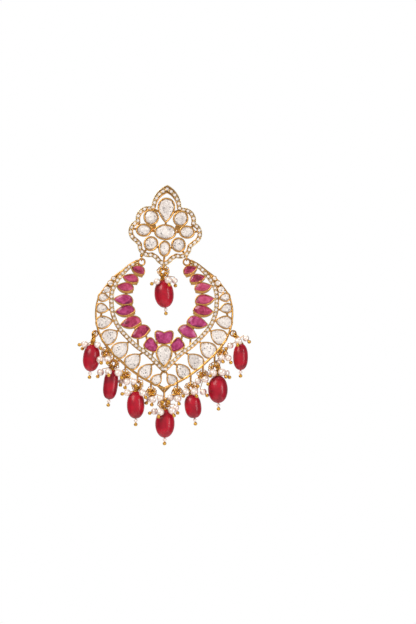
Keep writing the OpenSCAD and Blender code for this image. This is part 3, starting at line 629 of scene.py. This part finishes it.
# Right half of the stud's border: centre x, centre z, radius, first angle, last angle
BORDER_ARCS = [
    (-3.4, 8.0, 7.65, math.degrees(math.acos(3.4 / 7.65)), 2),
    (5.85, 4.0, 3.55, 104, -16),
    (8.2, -0.25, 3.4, 44, -64),
    (5.2, -4.9, 3.15, 6, -110),
    (-0.8, -7.2, 3.6, -26, -math.degrees(math.acos(0.8 / 3.6))),
]
lean_angle = math.radians(2.6)
stud_lean = Matrix.Rotation(lean_angle, 3, "Y")
arc_steps = 12
half = []
for cx, cz, radius, first, last in BORDER_ARCS:
    for i in range(arc_steps + 1):
        turn = math.radians(first + (last - first) * i / arc_steps)
        half.append(Vector((max(cx + radius * math.cos(turn), 0), 0, cz + radius * math.sin(turn))))
border = half + [Vector((-p.x, 0, p.z)) for p in half[-2:0:-1]]
tip_from, tip_share = 8.3, 0.84     # the band is wider towards the stud's tip


def on_stud(line, share):
    """The border's line on the leaning stud, its tip lowered to a share of its height"""
    lowered = [Vector((p.x, 0, min(p.z, tip_from + share * (p.z - tip_from)))) for p in line]
    return [stud_lean @ (p * MM) + Vector((0, -channel_depth * MM, 0)) for p in lowered]


step = 0.45 * MM
add_rails("stud", evenly(on_stud(border, 1), step, True),
          evenly(on_stud(border, tip_share), step, True), True, "stud")
band = on_stud(border, (1 + tip_share) / 2)
add_bed("stud", evenly(band, step, True), True, "stud")
stone_row("stud_channel", evenly(band, stud_pitch * MM, True), "stud", [])

# Middle line of the crescent's channel, right half from its ring to the vee: x, z
CHANNEL_KNOTS = [
    (8.9, -10.1), (11.9, -11.9), (14.9, -15.2), (16.6, -17.9), (17.5, -20.5), (17.65, -23.2),
    (17.3, -26.9), (16.4, -29.7), (15.0, -32.3), (12.1, -35.6), (8.9, -38.6), (6.4, -40.3),
    (4.2, -42.3), (0, -46.5),
]


def through(knots, steps=5):
    """A smooth line through knots"""
    made = []
    for i in range(len(knots) - 1):
        a, b, c, d = (knots[min(max(i + k, 0), len(knots) - 1)] for k in (-1, 0, 1, 2))
        for j in range(steps):
            t = j / steps
            made.append(0.5 * (2 * b + (c - a) * t + (2 * a - 5 * b + 4 * c - d) * t ** 2
                               + (3 * b - a - 3 * c + d) * t ** 3))
    return made + [knots[-1]]


link_z, link_shift = -10.15, 0.06       # the crescent hangs straight under the leaning stud
crescent_x = link_z * math.sin(lean_angle) + link_shift
rail_from = -13.2       # z in mm: above this the channel lies against the outer edge
right = through([Vector((x, 0, z)) for x, z in CHANNEL_KNOTS])
channel = [Vector((-p.x, 0, p.z)) for p in right] + right[-2::-1]
channel = [Vector((p.x + crescent_x, -channel_depth, p.z)) * MM for p in channel]
fine = evenly(channel, 0.5 * MM, False)
add_rails("crescent", [p for p in fine if p.z < rail_from * MM], fine, False, "crescent")
add_bed("crescent", fine, False, "crescent")

# Outer edge of the crescent, right half from its ring to the bottom: x, z
EDGE_KNOTS = [
    (9.0, -9.4), (12.45, -11.35), (14.6, -13.0), (17.3, -15.2), (20.3, -18.8), (22.2, -21.9),
    (23.1, -26.0), (22.9, -30.2), (21.9, -34.2), (19.6, -38.3), (15.8, -42.4), (11.2, -46.5),
    (5.9, -50.0), (0, -52.7),
]
edge_w, edge_depth, edge_sink, edge_wire_r = 0.5, 1.75, 0.1, 0.42
right = through([Vector((x, 0, z)) for x, z in EDGE_KNOTS])
edge = [Vector((-p.x, 0, p.z)) for p in right] + right[-2::-1]
edge = [Vector((p.x + crescent_x, -edge_depth + edge_sink, p.z)) * MM for p in edge]
edge = beside(edge, edge_w / 2 * MM, False)
thin_above, thick_below, arm_share = -14 * MM, -38 * MM, 0.5


def edge_share(p):
    """The edge is finest along the arms, and stoutest along the bottom"""
    down = (thin_above - p.z) / (thin_above - thick_below)
    return arm_share + (1 - arm_share) * min(max(down, 0), 1)


piece("crescent_edge_wire", wires([edge], edge_wire_r * MM, False, 2, edge_share), burnished_gold_painted_shade,
      "crescent")
row = [s["centre"] for s in seats("crescent_pave")]
row.sort(key=lambda p: min(range(len(channel)), key=lambda i: (channel[i] - p).length))
row = [Vector((p.x, -channel_depth * MM, p.z)) for p in row]
stone_row("crescent_channel", row, "crescent", ["crescent_pave"])


# Jump rings
# Rings of drawn wire, closed through the hanging loops. Each carries a bead and its pearls,
# and is wound with fine wire, which keeps the eyes of the pins in their places. The loose
# ends of the pins' wires are curled round it between the eyes.

def box_middle(part):
    low = Vector([min(v.co[k] for v in part) for k in range(3)])
    high = Vector([max(v.co[k] for v in part) for k in range(3)])
    return (low + high) / 2


def circle_of(part, wire):
    """The middle of a ring, the start of its wire from there, and the ring's axis"""
    centre = box_middle(part)
    outer = max(part, key=lambda v: (v.co - centre).length).co - centre
    axis = max((outer.cross(v.co - centre) for v in part), key=lambda c: c.length).normalized()
    return centre, outer.normalized() * (outer.length - wire), axis


coil_steps, winding_steps, loop_steps = 10, 8, 14       # points for each turn


def coil(start, up, height, turns, reach_from, reach_to):
    """A line wound round an axis, its reach changing from end to end"""
    side = up.orthogonal().normalized()
    made = []
    for k in range(turns * coil_steps + 1):
        share = k / (turns * coil_steps)
        reach = reach_from + (reach_to - reach_from) * share ** 0.7
        swing = Matrix.Rotation(math.tau * k / coil_steps, 3, up) @ side
        made.append(start + up * height * share + swing * reach)
    return made


def wound_ring(centre, start, axis, turns, gap):
    """Fine wire wound round a ring's wire"""
    made = []
    for k in range(turns * winding_steps):
        along = Matrix.Rotation(math.tau * k / turns / winding_steps, 3, axis) @ start
        swing = math.tau * k / winding_steps
        made.append(centre + along + (along.normalized() * math.cos(swing)
                                      + axis * math.sin(swing)) * gap)
    return made


LOOP_PLACES = (-160, -130, -104, -78, -50, -26, 26, 50, 78, 104, 130, 160)  # degrees
side_on = 0.7       # a ring whose axis points this far sideways is seen from its edge


def tail_loops(centre, start, axis):
    """Loose turns of the pins' wires round a ring, wider where its edge is to the front"""
    made = []
    lowest = Vector((0, 0, -1))
    for degrees in LOOP_PLACES:
        radial = Matrix.Rotation(math.radians(degrees), 3, axis) @ (
            lowest - axis * lowest.dot(axis)).normalized()
        around = axis.cross(radial)
        reach = chance.uniform(0.55, 0.92) * (1.3 if abs(axis.x) > side_on else 1.0) * MM
        tilt = math.radians(chance.choice((-1, 1)) * chance.uniform(35, 60))
        flat = axis * math.cos(tilt) + around * math.sin(tilt)
        middle_point = centre + radial * (start.length + chance.uniform(0.0, 0.24) * MM)
        made.append([middle_point + (radial * math.cos(math.tau * k / loop_steps)
                                     + flat * math.sin(math.tau * k / loop_steps)) * reach
                     for k in range(loop_steps)])
    return made


bright_wire = plated_gold("bright_gold_wire", "#E2AC4A", "#7A4812", 0.24, *ALL_BRIGHT, 0.6)
hang_depth, stem_reach = 1.1, 7.55
stem_h, stem_low_r, stem_high_r, stem_wire_r = 0.95, 0.46, 0.4, 0.16
# The stud's three stems that are wound with wire: x and z of the lower end
LINK_STEMS = [(crescent_x - stem_reach, -8.35), (crescent_x + stem_reach, -8.35),
              (-0.52, -11.75)]
stems = [coil(Vector((x, -hang_depth, z)) * MM, Vector((0, 0, 1)), stem_h * MM, 4,
              stem_low_r * MM, stem_high_r * MM) for x, z in LINK_STEMS]
piece("stud_stem_windings", wires(stems, stem_wire_r * MM, False, 1), drawn_gold, "stud")

ring_wire_r, winding_r, winding_reach, winding_pitch, loop_r = 0.17, 0.085, 0.26, 0.34, 0.15
ring_steps = 90
ring_points = []        # places along the rings' wires, for the eyes and the caps under them
for node, body in (("drop_rings", "crescent"), ("middle_ring", "stud")):
    rings = merged(node)
    windings, loops = [], []
    for part in loose_parts(rings):
        centre, start, axis = circle_of(part, ring_wire_r * MM)
        ring_points += [centre + Matrix.Rotation(math.tau * k / ring_steps, 3, axis) @ start
                        for k in range(ring_steps)]
        turns = round(math.tau * start.length / (winding_pitch * MM))
        windings.append(wound_ring(centre, start, axis, turns, winding_reach * MM))
        loops += tail_loops(centre, start, axis)
    piece(node + "_wire", rings, drawn_gold, body, [node])
    piece(node + "_windings", wires(windings, winding_r * MM, True, 1), drawn_gold, body)
    piece(node + "_loops", wires(loops, loop_r * MM, True, 1), bright_wire, body)


# Head pins
# Thin wires with an eye on the ring and a ball melted on the other end, which holds the
# pearl or the bead. The balls are brighter and yellower than the cast parts.

ball_gold = plated_gold("bright_gold_ball", "#FFDA58", "#D2981F", 0.28, *ALL_BRIGHT, 5.0, 0.6)
ball_r, pin_swell, neck_wire_r = 0.6, 0.03, 0.09
eye_near, eye_far = 0.33, 0.63      # the eye's wire lies this far from the ring's, in mm
neck_near, neck_far = 0.5, 0.85     # and the straight neck this far
neck_h, neck_r, neck_turns = 0.35, 0.2, 3


def thickened(bm, distance):
    """The same wire, a little thicker"""
    bm.normal_update()
    for v in bm.verts:
        v.co += v.normal * distance
    return bm


def median(values):
    ordered = sorted(values)
    return ordered[len(ordered) // 2]


def ball_place(part):
    """The middle of the ball at the end of a pin"""
    inner = [v.co - v.normal * ball_r * MM for v in part]
    return Vector([median([p[k] for p in inner]) for k in range(3)])


def wound_neck(part, ball):
    """Three turns of wire round the neck between a pin's eye and its bend"""
    wire = [v.co for v in part if (v.co - ball).length > 1.1 * ball_r * MM]
    near = [m for m in ring_points if min((m - co).length for co in wire) < 0.7 * MM]
    eye = max(near, key=lambda m: sum(eye_near < (m - co).length / MM < eye_far for co in wire))
    neck = [co for co in wire if neck_near < (co - eye).length / MM < neck_far]
    out = (sum(neck, Vector()) / len(neck) - eye).normalized()
    return coil(eye + out * neck_near * MM, out, neck_h * MM, neck_turns, neck_r * MM,
                neck_r * MM)


for node in ["pins_%d" % i for i in range(1, 8)] + ["middle_pins"]:
    body = "stud" if node == "middle_pins" else "crescent"
    pins = merged(node)
    pins.normal_update()
    balls, necks = bmesh.new(), []
    for part in loose_parts(pins):
        place = ball_place(part)
        bmesh.ops.create_icosphere(balls, subdivisions=3, radius=(ball_r + pin_swell) * MM,
                                   matrix=Matrix.Translation(place))
        necks.append(wound_neck(part, place))
    piece(node + "_wire", thickened(pins, pin_swell * MM), drawn_gold, body,
          [node], smooth=60)
    piece(node + "_necks", wires(necks, neck_wire_r * MM, False, 1), drawn_gold, body)
    piece(node + "_balls", balls, ball_gold, body)


# Pearls
# Small round pearls, cream with a pink tone, threaded on their pins. Their lustre is soft:
# a sharp highlight lies in a broader glow. Each takes the place and size of a drilled solid.

def pearl_material():
    """Nacre: half mirror and half cream, under a clear coat"""
    material = new_material("cream_pearl")
    place = add(material, "TexCoord").outputs["Object"]
    clouds = add(material, "TexNoise", {"Scale": 1 / (1.5 * MM), "Detail": 2.0},
                 {"Vector": place}).outputs["Fac"]
    colour = ramp(material, clouds, [(0.3, linear("#EFD9CE")), (0.7, linear("#FFF5EE"))])
    shader = add(material, "BsdfPrincipled",
                 {"Metallic": 0.44, "Roughness": 0.38, "Coat Weight": 0.8, "Coat Roughness": 0.14},
                 {"Base Color": colour})
    return finish_material(material, shader)


cream_pearl = pearl_material()
for node in ("pearls_left", "pearls_right", "middle_pearls"):
    body = "stud" if node == "middle_pearls" else "crescent"
    drilled, pearls = merged(node), bmesh.new()
    for part in loose_parts(drilled):
        centre = box_middle(part)
        radius = max((v.co - centre).length for v in part)
        bmesh.ops.create_uvsphere(pearls, u_segments=28, v_segments=16, radius=radius,
                                  matrix=Matrix.Translation(centre))
    drilled.free()
    piece(node + "_round", pearls, cream_pearl, body, [node])


# Red beads
# Long crimson beads, turned and drilled from clouded glass and polished, with a soft gloss.
# The wire above each is wound to a small cone that sits on the bead like a cap.

def bead_material():
    """Clouded crimson glass that lets a little light in"""
    material = new_material("crimson_bead_glass")
    place = add(material, "TexCoord").outputs["Object"]
    clouds = add(material, "TexNoise", {"Scale": 1 / (4.0 * MM), "Detail": 2.0,
                                        "Distortion": 0.4}, {"Vector": place}).outputs["Fac"]
    colour = ramp(material, clouds, [(0.3, linear("#86051E")), (0.72, linear("#C60A2A"))])
    shader = add(material, "BsdfPrincipled",
                 {"Roughness": 0.36, "IOR": 1.33, "Coat Weight": 0.25, "Coat Roughness": 0.14,
                  "Subsurface Weight": 0.15, "Subsurface Scale": 1.0 * MM,
                  "Subsurface Radius": (1.0, 0.15, 0.15)},
                 {"Base Color": colour})
    return finish_material(material, shader)


crimson_glass = bead_material()
# Node, centre x, centre z, radius, half length, lean in degrees, fullness
BEADS = [
    ("bead_1", -24.4, -42.25, 2.85, 4.6, -5.5, 2.2),
    ("bead_2", -17.95, -51.15, 2.45, 5.05, -6.5, 2.6),
    ("bead_3", -9.55, -58.0, 2.95, 4.65, 0, 2.2),
    ("bead_4", 0.25, -64.25, 3.25, 4.8, -1, 2.1),
    ("bead_5", 9.65, -58.45, 2.8, 4.05, 8, 2.4),
    ("bead_6", 18.0, -52.75, 3.3, 4.7, 2, 2.1),
    ("bead_7", 25.6, -41.9, 2.5, 4.5, 0, 2.3),
    ("bead_middle", -0.45, -20.75, 3.25, 4.75, 5.5, 2.1),
]
bore_r, bore_step, profile_steps = 0.25, 0.5, 32
cap_wire_r, cap_foot_r, cap_top_r, cap_sink, cap_turns = 0.13, 1.2, 0.3, 0.25, 6
tallest_cap, ring_gap = 2.2, 0.45
caps = {"stud": [], "crescent": []}
for node, x, z, radius, half_length, lean, fullness in BEADS:
    profile = []
    for i in range(profile_steps + 1):
        turn = math.radians(90 - 180 * i / profile_steps)
        across = abs(math.cos(turn)) ** (2 / fullness) * radius
        along = math.copysign(abs(math.sin(turn)) ** (2 / fullness) * half_length, turn)
        if across > bore_r:
            profile.append((across * MM, 0, along * MM))
    profile = [(bore_r * MM, 0, profile[0][2] - bore_step * MM)] + profile
    profile += [(bore_r * MM, 0, profile[-1][2] + bore_step * MM)]
    bead = turned(profile + [profile[0]], (0, 0, 1), 48)
    shift = 0 if node == "bead_middle" else crescent_x
    bmesh.ops.transform(bead, verts=bead.verts,
                        matrix=Matrix.Translation(Vector((x + shift, -hang_depth, z)) * MM)
                        @ Matrix.Rotation(math.radians(-lean), 4, "Y"))
    body = "stud" if node == "bead_middle" else "crescent"
    piece(node + "_glass", bead, crimson_glass, body, [node], smooth=60)
    up = Vector((-math.sin(math.radians(lean)), 0, math.cos(math.radians(lean))))
    top = Vector((x + shift, -hang_depth, z)) * MM + up * half_length * MM
    to_ring = min((m - top).length for m in ring_points)
    cap_height = min(tallest_cap * MM, to_ring - ring_gap * MM)
    caps[body].append(coil(top - up * cap_sink * MM, up, cap_height + cap_sink * MM, cap_turns,
                           cap_foot_r * MM, cap_top_r * MM))
for body, lines in caps.items():
    piece(body + "_bead_caps", wires(lines, cap_wire_r * MM, False, 1), drawn_gold, body)


# Studio
# A product photograph on white: the camera looks straight at the jewel with a long lens,
# broad soft light comes from the upper left front, and a tall strip from the right.

camera_data = bpy.data.cameras.new("camera")
camera_data.lens, camera_data.sensor_width = 171.9, 36
camera = bpy.data.objects.new("camera", camera_data)
camera.location = Vector((14.30, -1000, -26.9)) * MM
camera.rotation_euler = (math.radians(90), 0, 0)
bpy.context.scene.collection.objects.link(camera)
bpy.context.scene.camera = camera
bpy.context.scene.view_settings.view_transform = "Standard"
jewel_middle = Vector((0, 0, -0.03))


def softbox(name, place, width, height, power, colour="#FFFFFF"):
    """A broad light that faces the jewel; sizes in metres, power in watts"""
    light = bpy.data.lights.new(name, "AREA")
    light.shape, light.size, light.size_y = "RECTANGLE", width, height
    light.energy = power
    light.color = linear(colour)[:3]
    made = bpy.data.objects.new(name, light)
    made.location = place
    made.rotation_euler = (Vector(place) - jewel_middle).to_track_quat("Z", "Y").to_euler()
    bpy.context.scene.collection.objects.link(made)


softbox("key", (-1.1, -1.3, 1.2), 1.1, 1.1, 27, "#FFF9F2")
softbox("strip", (1.45, -1.05, 0.1), 0.3, 1.5, 13)
softbox("top", (0.2, 0.3, 1.8), 1.2, 1.2, 9)
softbox("back", (-0.4, 1.6, 0.6), 1.4, 1.4, 12)

floor_mesh = bmesh.new()
bmesh.ops.create_grid(floor_mesh, x_segments=1, y_segments=1, size=1.1,
                      matrix=Matrix.Translation((0, 0, -0.9)))
floor_data = bpy.data.meshes.new("floor")
floor_mesh.to_mesh(floor_data)
floor_mesh.free()
floor = bpy.data.objects.new("floor", floor_data)
paper = new_material("white_paper")
floor_data.materials.append(finish_material(paper, add(
    paper, "BsdfPrincipled", {"Base Color": linear("#F4F3F1"), "Roughness": 0.9,
                              "Emission Color": grey(1), "Emission Strength": 0.25})))
bpy.context.scene.collection.objects.link(floor)

world = bpy.data.worlds.new("studio")
bpy.context.scene.world = world
world.use_nodes = True
world.node_tree.nodes.clear()
way = add(world, "TexCoord").outputs["Generated"]
front = add(world, "SeparateXYZ", links={"Vector": way}).outputs["Y"]
walls = ramp(world, add(world, "MapRange", {"From Min": -1.0, "From Max": 1.0},
                        {"Value": front}).outputs["Result"],
             [(0.0, grey(0.64)), (1.0, grey(0.5)), (0.25, grey(0.36)), (0.5, grey(0.12))])
seen = add(world, "Background", {"Color": grey(1), "Strength": 1.0})
lit = add(world, "Background", {"Strength": 1.0}, {"Color": walls})
ray = add(world, "LightPath").outputs["Is Camera Ray"]
both = add(world, "MixShader", links={0: ray, 1: lit.outputs["Background"],
                                      2: seen.outputs["Background"]})
add(world, "OutputWorld", links={"Surface": both.outputs["Shader"]})
